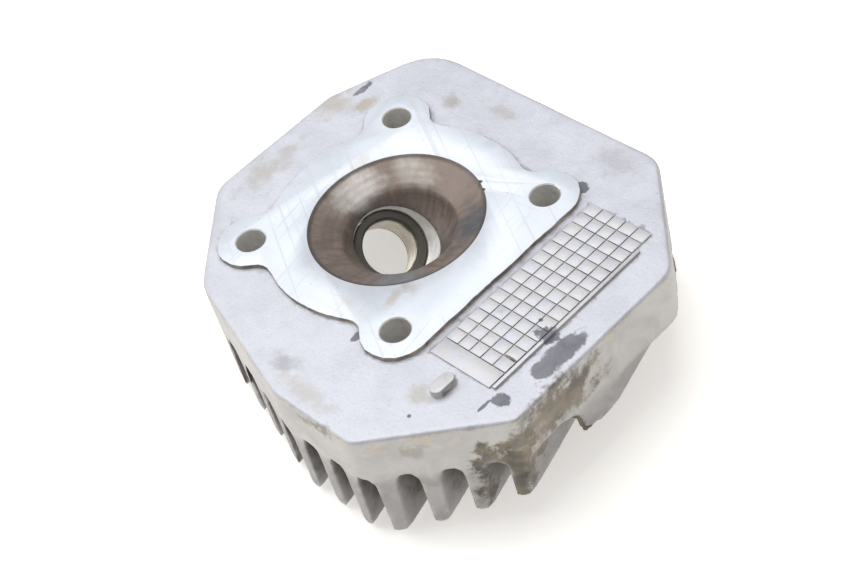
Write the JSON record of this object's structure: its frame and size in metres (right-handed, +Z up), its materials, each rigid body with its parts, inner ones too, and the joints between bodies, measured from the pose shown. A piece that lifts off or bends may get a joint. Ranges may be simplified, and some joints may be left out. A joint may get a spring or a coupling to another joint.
{
  "type": "cylinder head",
  "caption": "Bare air-cooled two-stroke cylinder head, gasket face up: chamber, stud holes, leaning plug bore with steel thread insert, slanted cooling fins.",
  "frame": {"origin": "centre of the plate's outline at the level of the deepest fin tips, so the part stands on Z = 0 with its gasket face up", "axes": "+Z up, out of the gasket face; +X along the plate's long side, away from the spark plug bore; +Y across it"},
  "size_m": [0.1058, 0.097, 0.0339],
  "materials": {
    "cast_aluminium": "grey as-cast aluminium with a bright machined gasket face, grimy at the edges and sooty in the chamber",
    "thread_steel": "steel, sooty at the chamber end",
    "washer_steel": "zinc-plated steel, dulled and lightly rusted"
  },
  "bodies": {
    "root": {"head_casting": "cast_aluminium", "plug_thread_insert": "thread_steel", "nut_washer_1": "washer_steel", "nut_washer_2": "washer_steel", "nut_washer_3": "washer_steel", "nut_washer_4": "washer_steel"}
  },
  "joints": []
}
